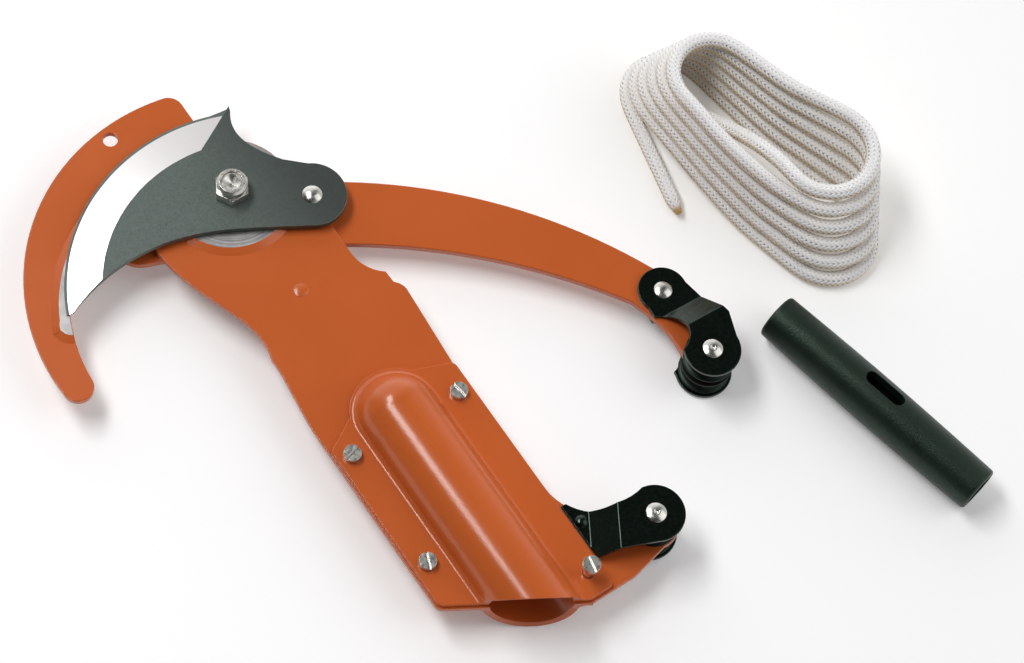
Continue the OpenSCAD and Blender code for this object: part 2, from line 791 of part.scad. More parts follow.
module spring_anchor() {
  color(paint) translate([spring_foot[0], spring_foot[1], 0]) {
    post(0);
    dome(post_d / 2 + 2, 0.8);
  }
}

module spring_post() {
  color(steel) at_pivot() translate([tail_post[0], tail_post[1], 0]) post(lever_top);
}

// Tube through ring centres: each ring is square to its way and starts from the given normal
function tube_points(path, normals, r, sides) =
  [for (i = [0:len(path) - 1])
    let (a = path[max(i - 1, 0)], b = path[min(i + 1, len(path) - 1)], way = unit(b - a))
    let (side = unit(cross(way, normals[i])), up = cross(side, way))
    for (k = [0:sides - 1])
      let (t = 360 * k / sides)
      path[i] + r * (cos(t) * up + sin(t) * side)];
function tube_faces(rings, sides) = concat(
  [for (k = [1:sides - 2]) [0, k, k + 1]],
  [for (i = [0:rings - 2], k = [0:sides - 1])
    let (a = i * sides + k, b = i * sides + (k + 1) % sides)
    each [[a, a + sides, b], [b, a + sides, b + sides]]],
  [for (k = [1:sides - 2]) let (e = (rings - 1) * sides) [e, e + k + 1, e + k]]
);
module tube(path, normals, r, sides) {
  polyhedron(tube_points(path, normals, r, sides), tube_faces(len(path), sides));
}

// Least distance between points of a path that are at least a given number of steps apart
function least_reach(path, apart) =
  min([for (i = [0:len(path) - 1]) for (j = [i + apart:1:len(path) - 1]) norm(path[i] - path[j])]);
// The same path with points added on its straight stretches
function filled(path, step) =
  [for (i = [0:len(path) - 2])
    let (n = max(1, ceil(norm(path[i + 1] - path[i]) / step)))
    for (k = [0:n - 1]) path[i] + (path[i + 1] - path[i]) * k / n];

curl_rings = 8;
spring_from = pivot + tail_post;
spring_way = unit(spring_foot - spring_from);
spring_side = [spring_way[1], -spring_way[0]];
spring_run = norm(spring_foot - spring_from) - 2 * hook_ring_r;

// Place of a point along, beside and above the spring's axis
function spring_place(along, beside, up) =
  let (p = spring_from + along * spring_way + beside * spring_side) [p[0], p[1], coil_z + up];
function spring_hook(centre, turn, ends) =
  [for (i = [0:10]) let (a = ends[0] + (ends[1] - ends[0]) * i / 10)
    spring_place(centre + hook_ring_r * cos(a), turn * hook_ring_r * sin(a), coil_r)];
spring_path = concat(
  spring_hook(0, 1, [-270, -20]),
  [for (i = [0:curls * curl_rings]) let (a = 360 * i / curl_rings)
    spring_place(hook_ring_r + spring_run * i / (curls * curl_rings), coil_r * sin(a), coil_r * cos(a))],
  spring_hook(spring_run + 2 * hook_ring_r, 1, [160, -90])
);
spring_normals = concat(
  [for (i = [0:10]) [0, 0, 1]],
  [for (i = [0:curls * curl_rings]) let (a = 360 * i / curl_rings)
    [spring_side[0] * sin(a), spring_side[1] * sin(a), cos(a)]],
  [for (i = [0:10]) [0, 0, 1]]
);

module return_spring() {
  color(steel) tube(spring_path, spring_normals, wire_d / 2, 6);
}

// Rope hank: a leaning stack of loops, each round a near and a far point; the rope climbs to the next
// loop along its left side, and its last end sinks through the middle to the floor

end_rings = 11;
loop_step = rope_d + rope_gap;
top_loop = loops - 1;
near_at = [283.5, 97];
far_at = near_at + [-hank_run * sin(hank_lean), hank_run * cos(hank_lean)];
near_shift = [2.2, 6.1];
far_shift = [1.8, -4.3];
far_r = loop_r - 4;
hank_low = floor_z + rope_d / 2;
end_reach = 110;
end_in = 26;

// Two points of a loop, the way from the near one to the far one, and the way to its right
function near_end(i) = near_at + i * near_shift;
function far_end(i) = far_at + i * far_shift;
function run_way(i) = unit(far_end(i) - near_end(i));
function run_side(i) = let (w = run_way(i)) [w[1], -w[0]];
function near_left(i) = near_end(i) - loop_r * run_side(i);
function far_left(i) = far_end(i) - far_r * run_side(i);
function lifted(p, level) = [p[0], p[1], hank_low + level * loop_step];
// Direction in a loop's plane, and the turn round an end of a loop, clockwise between two directions
function heading(i, a) = cos(a) * run_side(i) + sin(a) * run_way(i);
function end_turn(i, c, r, from, to) =
  [for (k = [0:end_rings]) lifted(c + r * heading(i, from + (to - from) * k / end_rings), i)];
function right_middle(i) =
  lifted((near_end(i) + far_end(i)) / 2 + ((loop_r + far_r) / 2 - loop_pinch) * run_side(i), i);
// All loops climb over the same stretch, so that each stays a whole step above the one below
climb_from = near_end(top_loop)[1];
climb_to = far_end(top_loop)[1] - 10;
function climb_point(i, s) =
  let (a = near_left(i), b = far_left(i + 1), y = climb_from + (climb_to - climb_from) * s)
  let (t = (y - a[1]) / (b[1] - a[1]))
  lifted(a + (b - a) * t - 4 * loop_bulge * t * (1 - t) * run_side(i), i + s);
// Free end that leaves the lowest loop's far turn straight, pointing back and out
function tail_point(back) =
  lifted(far_end(0) + far_r * heading(0, 180 - rope_splay) - back * heading(0, 90 - rope_splay), 0);
// Free end of the top loop, down into the middle of the hank
function sunk_point(t) =
  let (p = near_left(top_loop) + end_reach * t * run_way(top_loop) + end_in * sin(90 * t) * run_side(top_loop))
  lifted(p, top_loop * (1 + cos(180 * t)) / 2);
hank_path = concat(
  [for (s = [4:-1:1]) tail_point(rope_tail * s / 4)],
  [for (i = [0:top_loop]) each concat(
    end_turn(i, far_end(i), far_r, i == 0 ? 180 - rope_splay : 180, 0),
    [right_middle(i)],
    end_turn(i, near_end(i), loop_r, 0, -180),
    i < top_loop ? [for (s = [0:0.25:1]) climb_point(i, s)] : [for (t = [0.125:0.125:1]) sunk_point(t)])]
);

module rope_hank() {
  color([0.92, 0.91, 0.88]) tube(hank_path, [for (p = hank_path) [0, 0, 1]], rope_d / 2, 6);
}

echo(rope_least_gap = least_reach(filled(hank_path, 4), 10) - rope_d);
echo(spring_least_gap = least_reach(filled(spring_path, 1), 6) - wire_d);
rope_steps = [for (i = [1:len(hank_path) - 1]) norm(hank_path[i] - hank_path[i - 1])];
echo(rope_length = rope_steps * [for (s = rope_steps) 1]);

// Pull grip, a barrel-shaped tube lying on the floor

grip_at = [239.5, -5];
grip_turn = 12.7;

function grip_profile() =
  let (lip = 2, belly = grip_mid_r - grip_end_r)
  concat(
    [[grip_bore_r, 0]],
    arc([grip_end_r - lip, lip], lip, 270, 360, 5),
    [for (i = [1:9]) [grip_end_r + belly * sin(18 * i), lip + (grip_len - 2 * lip) * i / 10]],
    arc([grip_end_r - lip, grip_len - lip], lip, 0, 90, 5),
    [[grip_bore_r, grip_len]]
  );

module pull_grip() {
  straight = grip_slot_len - grip_slot_w;
  color([0.08, 0.11, 0.09]) translate([grip_at[0], grip_at[1], floor_z + grip_mid_r])
    rotate(grip_turn) rotate([90, 0, 0]) difference() {
      translate([0, 0, -grip_len / 2]) rotate_extrude() polygon(grip_profile());
      rotate([0, 0, grip_slot_up]) for (end = [-0.5, 0.5])
        translate([0, 0, end * straight]) rotate([0, 90, 0]) cylinder(d = grip_slot_w, h = 2 * grip_mid_r);
      rotate([0, 0, grip_slot_up]) translate([0, -grip_slot_w / 2, -straight / 2])
        cube([2 * grip_mid_r, grip_slot_w, straight]);
    }
}

hook_plate();
socket_cover();
cover_screws();
anchor_screw();
cover_nuts();
pivot_bolt();
pivot_washer();
pivot_nut();
blade();
blade_rivet();
rivet_spacer();
lever();
upper_strap_front();
upper_strap_back();
upper_strap_rivet();
upper_axle();
upper_pulley_front();
upper_pulley_back();
lower_strap_front();
lower_strap_back();
lower_strap_rivet();
lower_axle();
lower_pulley_front();
lower_pulley_back();
spring_anchor();
spring_post();
return_spring();
rope_hank();
pull_grip();
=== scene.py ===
"""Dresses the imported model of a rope-operated tree pruner head: paint, steel, lacquer, rope and plastic."""
import json
import math

import bpy
from mathutils import Matrix, Vector


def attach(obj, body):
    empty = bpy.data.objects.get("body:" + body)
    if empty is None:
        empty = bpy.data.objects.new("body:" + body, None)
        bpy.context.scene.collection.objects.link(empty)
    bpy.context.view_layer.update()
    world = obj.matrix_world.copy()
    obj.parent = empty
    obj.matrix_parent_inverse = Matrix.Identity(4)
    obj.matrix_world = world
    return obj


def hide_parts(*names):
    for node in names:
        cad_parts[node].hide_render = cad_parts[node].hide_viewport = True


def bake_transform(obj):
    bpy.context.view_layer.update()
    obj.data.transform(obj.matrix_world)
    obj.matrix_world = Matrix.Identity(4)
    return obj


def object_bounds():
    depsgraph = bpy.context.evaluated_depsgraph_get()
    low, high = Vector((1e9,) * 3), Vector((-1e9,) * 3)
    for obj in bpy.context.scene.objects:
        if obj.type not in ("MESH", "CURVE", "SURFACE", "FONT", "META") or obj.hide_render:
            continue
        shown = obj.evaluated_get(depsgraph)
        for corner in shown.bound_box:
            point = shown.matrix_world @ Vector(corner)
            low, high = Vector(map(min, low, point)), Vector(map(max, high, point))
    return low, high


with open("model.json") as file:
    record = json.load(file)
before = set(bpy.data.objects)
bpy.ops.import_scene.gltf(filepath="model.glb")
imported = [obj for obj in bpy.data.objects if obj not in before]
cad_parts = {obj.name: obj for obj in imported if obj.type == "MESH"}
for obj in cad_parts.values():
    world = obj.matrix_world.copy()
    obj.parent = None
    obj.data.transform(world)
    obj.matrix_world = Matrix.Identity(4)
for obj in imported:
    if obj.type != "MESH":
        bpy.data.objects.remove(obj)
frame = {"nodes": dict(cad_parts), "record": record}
CAD_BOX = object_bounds()

bl_info = {
    "name": "Tree pruner head",
    "version": (1, 0, 0),
    "blender": (4, 5, 0),
    "location": "3D View > Sidebar > Pruner",
    "description": "Makes the finished pieces of a rope-operated tree pruner head round its solid model",
    "category": "Object",
}

MM = 0.001

# Points closer than this are one, and faces that meet at less than this are one flat face
MERGE_DISTANCE = 1e-5
FLAT_ANGLE = math.radians(0.3)

# Measures of the solid model that the finishes and the paths follow, in metres
PIVOT = next(j["pos_m"][:2] for j in frame["record"]["behaviour"]["joints"] if j["name"] == "blade_pivot")
EDGE_CENTRE = (-0.0205, 0.2353)
EDGE_RADIUS = 0.1114
# How far in from the cutting edge the painted shade band along it begins, and from where it is full
EDGE_SHADE_BAND = (0.0018, 0.0014)
BEVEL_FROM = 0.0904
RAISED_FROM_Z = 0.0017
# Where along x the blade's flats turn darker towards the heel
HEEL = (-0.03, 0.045)
ROPE_RADIUS = 0.0045
WIRE_RADIUS = 0.0008
FLOOR_Z = CAD_BOX[0][2]

# The least z of a level face's normal, and how far below one the ground bevel's lies
LEVEL = 0.95
BEVEL_SLOPES = (0.004, 0.6)

# How far a stitch of the rope's braid leans over its row, in stitches
STITCH_SLANT = 0.9

# The stage: the camera as found from the photograph, the floor and the lights
CAMERA_PLACE = (-0.44136, -0.32271, 1.48204)
CAMERA_TURN = Matrix((
    (0.81676, 0.47998, -0.32018),
    (-0.56582, 0.77492, -0.28169),
    (0.11291, 0.41124, 0.90451),
))
CAMERA_LENS = 101.953
CAMERA_SENSOR = 36.0
CAMERA_REACH = 50.0
FLOOR_SIZE = 14.0
FLOOR_GAP = 0.0002
FLOOR_TONES = (0.93, 0.94)
FLOOR_GLOW = 0.16
WHITE = (1.0, 1.0, 1.0, 1.0)
LIGHT_TARGET = (0.08, 0.18, 0.0)
LIGHTS = (
    # name, place, size, power, way of the first side
    ("key", (-0.42, 0.95, 1.72), (1.25, 0.45), 22.0, (0.46, 0.89, 0.0)),
    ("fill", (1.7, -0.9, 2.2), (2.2, 2.2), 20.0, (1.0, 0.0, 0.0)),
)


def colour(name, text, value):
    return bpy.props.FloatVectorProperty(
        name=name, description=text, subtype="COLOR", size=3, min=0.0, max=1.0, default=value)


def length(name, text, value):
    return bpy.props.FloatProperty(
        name=name, description=text, unit="LENGTH", precision=5, min=0.0, default=value)


def whole_number(name, text, value):
    return bpy.props.IntProperty(name=name, description=text, min=3, default=value)


class PrunerFinishes(bpy.types.PropertyGroup):
    """Colours of the pruner's finishes."""
    paint: colour("Paint", "Powder coat on the plates and the lever", (0.56, 0.115, 0.024))
    blade: colour("Blade", "Phosphated flats of the blade", (0.1, 0.125, 0.112))
    ground: colour("Ground steel", "Ground bevel of the blade, boss and strip", (0.78, 0.76, 0.75))
    zinc: colour("Zinc", "Plating on screws, nuts and bolt", (0.66, 0.65, 0.61))
    rivet: colour("Rivet steel", "Bare heads of rivets and axles", (0.64, 0.63, 0.59))
    wire: colour("Spring wire", "Drawn wire of the return spring", (0.5, 0.5, 0.48))
    lacquer: colour("Lacquer", "Black lacquer on the pulley straps", (0.0012, 0.0024, 0.0018))
    dark_shine: colour("Dark shine", "Tint of the shine on black lacquer and plastic", (0.72, 1.0, 0.8))
    pulley: colour("Pulley", "Plastic of the pulleys", (0.006, 0.008, 0.0075))
    grip: colour("Grip", "Plastic of the pull grip", (0.004, 0.009, 0.006))
    rope: colour("Rope", "Braided strands of the rope", (1.0, 0.99, 0.985))
    rope_gap_shade: colour("Rope gaps", "Shaded gaps between the rope's stitches", (0.3, 0.27, 0.28))
    # Painted shade: a warm tint that stands in for light thrown between strands where they lie together
    rope_side_shade: colour("Rope sides", "Warm tint where two strands lie together", (0.9, 0.77, 0.57))
    rope_end: colour("Rope end", "Melted end of the rope", (0.6, 0.38, 0.16))


class PrunerSizes(bpy.types.PropertyGroup):
    """Sizes of the details that the pieces get here."""
    plate_edge: length("Plate edge", "Radius of the body plate's broken edges", 0.0005)
    cover_edge: length("Cover edge", "Radius of the socket cover's broken edges", 0.0005)
    lever_edge: length("Lever edge", "Radius of the lever's broken edges", 0.0008)
    blade_edge: length("Blade edge", "Radius of the blade's broken edges", 0.0002)
    strap_edge: length("Strap edge", "Radius of the straps' broken edges", 0.0005)
    small_edge: length("Small edge", "Radius of the broken edges of rivets, axles, pulleys and grip", 0.0003)
    screw_edge: length("Screw edge", "Radius of the screws' and nuts' broken edges", 0.00015)
    stitch: length("Stitch", "Length of one stitch of the rope's braid", 0.0028)
    relief: length("Relief", "Height of the rope's stitches", 0.00035)
    braid_rows: whole_number("Braid rows", "Rows of stitches round the rope", 16)
    rope_sides: whole_number("Rope sides", "Points round the rope", 32)


def finishes():
    return bpy.context.scene.pruner_finishes


def sizes():
    return bpy.context.scene.pruner_sizes


# Selection and copies of the solid model's nodes

def only(obj):
    """Makes obj the one selected and active object."""
    bpy.ops.object.select_all(action="DESELECT")
    obj.select_set(True)
    bpy.context.view_layer.objects.active = obj


def apply_modifier(obj, kind, **values):
    modifier = obj.modifiers.new(kind.lower(), kind)
    for key, value in values.items():
        setattr(modifier, key, value)
    bpy.ops.object.modifier_apply(modifier=modifier.name)


def node_copy(node):
    """A copy of a node's mesh with its triangles joined and its flat faces made whole."""
    obj = bpy.data.objects.new(node + "_piece", frame["nodes"][node].data.copy())
    bpy.context.scene.collection.objects.link(obj)
    obj.data.materials.clear()
    only(obj)
    bpy.ops.mesh.customdata_custom_splitnormals_clear()
    bpy.ops.object.mode_set(mode="EDIT")
    bpy.ops.mesh.select_all(action="SELECT")
    bpy.ops.mesh.remove_doubles(threshold=MERGE_DISTANCE)
    bpy.ops.mesh.dissolve_degenerate(threshold=MERGE_DISTANCE)
    bpy.ops.mesh.dissolve_limited(angle_limit=FLAT_ANGLE)
    bpy.ops.object.mode_set(mode="OBJECT")
    return obj


def break_edges(obj, radius, segments=5, angle=40, edge_slot=-1, domed=False, crease=20):
    """Rounds the edges over an angle, then shades flat faces up to their creases, and domes evenly."""
    only(obj)
    bpy.ops.object.shade_smooth()
    apply_modifier(obj, "BEVEL", width=radius, segments=segments, limit_method="ANGLE",
                   angle_limit=math.radians(angle), use_clamp_overlap=False, loop_slide=False,
                   material=edge_slot)
    dome_crease = 50
    bpy.ops.object.shade_smooth_by_angle(angle=math.radians(dome_crease if domed else crease))
    if not domed:
        apply_modifier(obj, "WEIGHTED_NORMAL", mode="FACE_AREA", weight=50, keep_sharp=True)


def settle(obj, node, body):
    """Puts a piece in its node's place on a body."""
    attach(obj, body)
    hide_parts(node)


def body_of_node(node):
    return next(b for b, nodes in frame["record"]["behaviour"]["bodies"].items() if node in nodes)


def dress(node, material, radius, segments=5, angle=40, domed=False):
    """A node's copy with broken edges and a finish, in the node's place."""
    obj = node_copy(node)
    obj.data.materials.append(material)
    break_edges(obj, radius, segments, angle, domed=domed)
    settle(obj, node, body_of_node(node))
    return obj


# Shader nodes

def put(tree, kind, links=(), **values):
    """Adds a node, sets its properties and sockets by name, and joins the given outputs to its inputs."""
    node = tree.nodes.new(kind)
    for key, value in values.items():
        if hasattr(node, key):
            setattr(node, key, value)
        else:
            node.inputs[key.replace("_", " ").title()].default_value = value
    for name, source in links:
        tree.links.new(source, node.inputs[name])
    return node


def math_node(tree, operation, first, second=None, third=None):
    node = tree.nodes.new("ShaderNodeMath")
    node.operation = operation
    for socket, value in zip(node.inputs, (first, second, third)):
        if value is None:
            continue
        if isinstance(value, (int, float)):
            socket.default_value = value
        else:
            tree.links.new(value, socket)
    return node.outputs[0]


def ramp(tree, value, low, high, to_low=0.0, to_high=1.0):
    node = put(tree, "ShaderNodeMapRange", [("Value", value)], interpolation_type="SMOOTHSTEP")
    for name, number in zip(("From Min", "From Max", "To Min", "To Max"), (low, high, to_low, to_high)):
        node.inputs[name].default_value = number
    return node.outputs["Result"]


def mixed(tree, factor, first, second):
    node = put(tree, "ShaderNodeMix", data_type="RGBA")
    for socket, value in zip((node.inputs[0], node.inputs[6], node.inputs[7]), (factor, first, second)):
        if isinstance(value, bpy.types.NodeSocket):
            tree.links.new(value, socket)
        else:
            socket.default_value = value if isinstance(value, float) else (*value, 1.0)
    return node.outputs[2]


def shade(value, factor):
    """A colour made lighter or darker."""
    return tuple(min(1.0, c * factor) for c in value)


def group(name, inputs, outputs):
    """An empty shader node group with named sockets."""
    tree = bpy.data.node_groups.new(name, "ShaderNodeTree")
    for socket, kind in inputs:
        tree.interface.new_socket(socket, in_out="INPUT", socket_type="NodeSocket" + kind)
    for socket, kind in outputs:
        tree.interface.new_socket(socket, in_out="OUTPUT", socket_type="NodeSocket" + kind)
    return tree, tree.nodes.new("NodeGroupInput").outputs, tree.nodes.new("NodeGroupOutput").inputs


def existing(name, make):
    return bpy.data.node_groups.get(name) or make(name)


def make_mottle(name):
    """Cloudy change between two colours."""
    tree, given, out = group(
        name, [("Vector", "Vector"), ("Scale", "Float"), ("Dark", "Color"), ("Light", "Color")],
        [("Tint", "Color"), ("Field", "Float")])
    noise = put(tree, "ShaderNodeTexNoise", [("Vector", given["Vector"]), ("Scale", given["Scale"])],
                detail=5.0)
    field = ramp(tree, noise.outputs["Fac"], 0.32, 0.68)
    tree.links.new(mixed(tree, field, given["Dark"], given["Light"]), out["Tint"])
    tree.links.new(field, out["Field"])
    return tree


def make_grain(name):
    """Fine even grain, as on powder coat or moulded plastic."""
    tree, given, out = group(name, [("Vector", "Vector"), ("Scale", "Float")], [("Height", "Float")])
    noise = put(tree, "ShaderNodeTexNoise", [("Vector", given["Vector"]), ("Scale", given["Scale"])],
                detail=2.0, roughness=0.45)
    tree.links.new(noise.outputs["Fac"], out["Height"])
    return tree


def make_turned(name):
    """Fine rings round the z axis of the given vector, as left by turning or rubbing."""
    tree, given, out = group(name, [("Vector", "Vector"), ("Lines", "Float")], [("Height", "Float")])
    flat = put(tree, "ShaderNodeVectorMath", [(0, given["Vector"])], operation="MULTIPLY")
    flat.inputs[1].default_value = (1.0, 1.0, 0.0)
    reach = put(tree, "ShaderNodeVectorMath", [(0, flat.outputs[0])], operation="LENGTH")
    place = math_node(tree, "MULTIPLY", reach.outputs["Value"], given["Lines"])
    noise = put(tree, "ShaderNodeTexNoise", [("W", place)], noise_dimensions="1D", scale=1.0, detail=3.0)
    tree.links.new(noise.outputs["Fac"], out["Height"])
    return tree


def make_streaks(name):
    """Fine straight lines that fan out from the z axis of the given vector, as left by a grinding wheel."""
    tree, given, out = group(name, [("Vector", "Vector"), ("Lines", "Float")], [("Height", "Float")])
    parts = put(tree, "ShaderNodeSeparateXYZ", [(0, given["Vector"])])
    turn = math_node(tree, "ARCTAN2", parts.outputs[1], parts.outputs[0])
    place = math_node(tree, "MULTIPLY", turn, given["Lines"])
    noise = put(tree, "ShaderNodeTexNoise", [("W", place)],
                noise_dimensions="1D", scale=1.0, detail=4.0, roughness=0.7)
    tree.links.new(noise.outputs["Fac"], out["Height"])
    return tree


def make_braid(name):
    """Rows of slanted stitches in pairs, with painted shade: a dark dot where the tips of two rows meet, and
    darker grooves between stitches.
    """
    tree, given, out = group(
        name, [("Rows", "Float"), ("Stitches", "Float")], [("Height", "Float"), ("Gap", "Float")])
    across = math_node(tree, "FRACT", given["Rows"])
    odd = math_node(tree, "MODULO", math_node(tree, "FLOOR", given["Rows"]), 2.0)
    lean = math_node(tree, "MULTIPLY_ADD", odd, 2.0, -1.0)
    shift = math_node(tree, "MULTIPLY_ADD", across, STITCH_SLANT, -STITCH_SLANT / 2)
    slant = math_node(tree, "MULTIPLY", lean, shift)
    along = math_node(tree, "FRACT", math_node(tree, "ADD", given["Stitches"], slant))
    round_along = math_node(tree, "SINE", math_node(tree, "MULTIPLY", along, math.pi))
    inside = math_node(tree, "PINGPONG", given["Rows"], 1.0)
    height = math_node(tree, "MULTIPLY", math_node(tree, "POWER", round_along, 0.5),
                       ramp(tree, inside, 0.0, 0.5, 0.55, 1.0))
    dot_shade = math_node(tree, "MULTIPLY", ramp(tree, inside, 0.18, 0.46, 1.0, 0.0),
                     ramp(tree, round_along, 0.3, 0.7, 1.0, 0.0))
    groove_shade = ramp(tree, round_along, 0.08, 0.45, 0.36, 0.0)
    tree.links.new(height, out["Height"])
    tree.links.new(math_node(tree, "MAXIMUM", dot_shade, groove_shade), out["Gap"])
    return tree


class Finish:
    """A material under way: its tree, its main shader and its coordinates."""

    def __init__(self, name, **constants):
        self.material = bpy.data.materials.new(name)
        self.material.use_nodes = True
        self.tree = self.material.node_tree
        self.shader = self.tree.nodes["Principled BSDF"]
        for key, value in constants.items():
            self.shader.inputs[key.replace("_", " ")].default_value = value
        self.place = self.tree.nodes.new("ShaderNodeTexCoord").outputs["Object"]

    def centred(self, x, y):
        node = put(self.tree, "ShaderNodeMapping", [("Vector", self.place)])
        node.inputs["Location"].default_value = (-x, -y, 0.0)
        return node.outputs["Vector"]

    def use(self, name, make, links=(), **values):
        """The outputs of a shared node group, which is made on first use."""
        node = self.tree.nodes.new("ShaderNodeGroup")
        node.node_tree = existing(name, make)
        for key, value in values.items():
            node.inputs[key].default_value = (*value, 1.0) if isinstance(value, tuple) else value
        for key, source in links:
            self.tree.links.new(source, node.inputs[key])
        return node.outputs

    def mottle(self, scale, dark, light):
        return self.use("Mottle", make_mottle, [("Vector", self.place)], Scale=scale, Dark=dark, Light=light)

    def grain(self, scale):
        return self.use("Grain", make_grain, [("Vector", self.place)], Scale=scale)["Height"]

    def feed(self, socket, source):
        self.tree.links.new(source, self.shader.inputs[socket])

    def bump(self, height, strength, distance):
        node = put(self.tree, "ShaderNodeBump", [("Height", height)])
        node.inputs["Strength"].default_value = strength
        node.inputs["Distance"].default_value = distance
        self.feed("Normal", node.outputs["Normal"])


def powder_coat():
    """Glossy powder coat with a faint orange-peel grain."""
    paint = tuple(finishes().paint)
    f = Finish("powder_coat")
    cloud = f.mottle(scale=14.0, dark=shade(paint, 0.97), light=shade(paint, 1.03))
    f.feed("Base Color", cloud["Tint"])
    f.feed("Roughness", ramp(f.tree, cloud["Field"], 0.0, 1.0, 0.2, 0.23))
    f.bump(f.grain(scale=750.0), strength=0.06, distance=0.0004)
    return f.material


def rubbed_steel():
    """Bare steel that the blade rubs on, with rings round the pivot."""
    steel = tuple(finishes().ground)
    f = Finish("rubbed_steel", Metallic=1.0)
    rings = f.use("Turned", make_turned, [("Vector", f.centred(*PIVOT))], Lines=900.0)
    cloud = f.mottle(scale=140.0, dark=shade(steel, 0.44), light=shade(steel, 0.58))
    f.feed("Base Color", cloud["Tint"])
    f.feed("Roughness", ramp(f.tree, rings["Height"], 0.3, 0.7, 0.3, 0.46))
    f.bump(rings["Height"], strength=0.15, distance=0.0002)
    return f.material


def phosphated_steel():
    """Dark dull flats of the blade, with small darker specks and a darker heel."""
    base = tuple(finishes().blade)
    f = Finish("phosphated_steel", Metallic=0.35)
    cloud = f.mottle(scale=700.0, dark=shade(base, 0.9), light=shade(base, 1.08))
    specks = f.grain(scale=1500.0)
    along = put(f.tree, "ShaderNodeSeparateXYZ", [(0, f.place)]).outputs[0]
    # Base colour made darker towards the heel and lighter towards the tip
    darker_to_heel = mixed(f.tree, ramp(f.tree, along, *HEEL), cloud["Tint"], shade(base, 0.4))
    f.feed("Base Color", mixed(f.tree, ramp(f.tree, specks, 0.6, 0.72), darker_to_heel, shade(base, 0.55)))
    f.feed("Roughness", ramp(f.tree, cloud["Field"], 0.0, 1.0, 0.42, 0.5))
    f.bump(specks, strength=0.12, distance=0.0003)
    return f.material


def ground_steel():
    """Bright bevel with grinding lines square to the cutting edge, and a painted shade band along the cutting
    edge.
    """
    steel = tuple(finishes().ground)
    f = Finish("ground_steel")
    place = f.centred(*EDGE_CENTRE)
    lines = f.use("Streaks", make_streaks, [("Vector", place)], Lines=420.0)
    reach = put(f.tree, "ShaderNodeVectorMath", [(0, place)], operation="LENGTH").outputs["Value"]
    # Painted shade: the outer band along the cutting edge turns dark, dull and not metallic, where the edge's
    # narrow second bevel lies in shade
    edge_shade = ramp(f.tree, reach, EDGE_RADIUS - EDGE_SHADE_BAND[0], EDGE_RADIUS - EDGE_SHADE_BAND[1])
    ground = mixed(f.tree, lines["Height"], shade(steel, 0.92), shade(steel, 1.08))
    f.feed("Base Color", mixed(f.tree, edge_shade, ground, tuple(finishes().blade)))
    f.feed("Metallic", math_node(f.tree, "SUBTRACT", 1.0, edge_shade))
    f.feed("Roughness", math_node(f.tree, "MAXIMUM", ramp(f.tree, lines["Height"], 0.3, 0.7, 0.28, 0.36),
                                  math_node(f.tree, "MULTIPLY", edge_shade, 0.55)))
    f.bump(lines["Height"], strength=0.06, distance=0.0002)
    return f.material


def worn_and_highlit_edge():
    """Edges of the blade, made lighter than its flats: rubbed wear and a painted highlight along the edges.
    """
    base = tuple(finishes().blade)
    f = Finish("worn_and_highlit_edge", Metallic=0.7, Roughness=0.4)
    cloud = f.mottle(scale=260.0, dark=shade(base, 1.1), light=shade(base, 2.4))
    f.feed("Base Color", cloud["Tint"])
    return f.material


def plated_steel(name, tint, roughness, scale):
    """Plated or bare small steel parts, faintly clouded."""
    f = Finish(name, Metallic=1.0)
    cloud = f.mottle(scale, dark=shade(tint, 0.9), light=shade(tint, 1.04))
    f.feed("Base Color", cloud["Tint"])
    f.feed("Roughness", ramp(f.tree, cloud["Field"], 0.0, 1.0, roughness - 0.03, roughness + 0.05))
    f.bump(f.grain(scale=1600.0), strength=0.015, distance=0.0002)
    return f.material


def dark_finish(name, tint, rough, grain_scale, strength, gloss=0.3):
    """Black lacquer or plastic with grain, slight clouding and a greenish shine."""
    f = Finish(name, Specular_IOR_Level=gloss, Specular_Tint=(*finishes().dark_shine, 1.0))
    grain = f.grain(grain_scale)
    cloud = f.mottle(scale=60.0, dark=shade(tint, 0.8), light=shade(tint, 1.3))
    f.feed("Base Color", cloud["Tint"])
    f.feed("Roughness", ramp(f.tree, grain, 0.3, 0.7, rough - 0.05, rough + 0.07))
    f.bump(grain, strength, distance=0.0004)
    return f.material


def braided_cord():
    """White braid with painted shade in the gaps between its stitches, a warm painted shade on its
    down-facing sides and a melted tan end.
    """
    look = finishes()
    f = Finish("braided_cord", Roughness=0.7, Specular_IOR_Level=0.3)
    uv = put(f.tree, "ShaderNodeUVMap", uv_map="braid").outputs[0]
    parts = put(f.tree, "ShaderNodeSeparateXYZ", [(0, uv)])
    braid = f.use("Braid", make_braid, [("Rows", parts.outputs[0]), ("Stitches", parts.outputs[1])])
    strands = f.mottle(scale=90.0, dark=shade(tuple(look.rope), 0.95), light=tuple(look.rope))
    lie = put(f.tree, "ShaderNodeAttribute", attribute_name="lie").outputs["Fac"]
    # Painted shade: sides that face down take the warm tint
    warm_shade = mixed(f.tree, ramp(f.tree, lie, 0.15, 0.55, 0.95, 0.0), strands["Tint"], tuple(look.rope_side_shade))
    # Painted shade in the braid's gaps, stronger on the rope's down-facing sides
    gap_shade = math_node(f.tree, "MULTIPLY", braid["Gap"], ramp(f.tree, strands["Field"], 0.0, 1.0, 0.45, 1.0))
    gap_shade = math_node(f.tree, "MULTIPLY", gap_shade, ramp(f.tree, lie, 0.35, 0.9, 2.4, 0.55))
    woven = mixed(f.tree, gap_shade, warm_shade, tuple(look.rope_gap_shade))
    melted = ramp(f.tree, parts.outputs[1], 0.6, 1.8, 1.0, 0.0)
    f.feed("Base Color", mixed(f.tree, melted, woven, tuple(look.rope_end)))
    f.bump(braid["Height"], strength=0.7, distance=0.0006)
    return f.material


# Paths

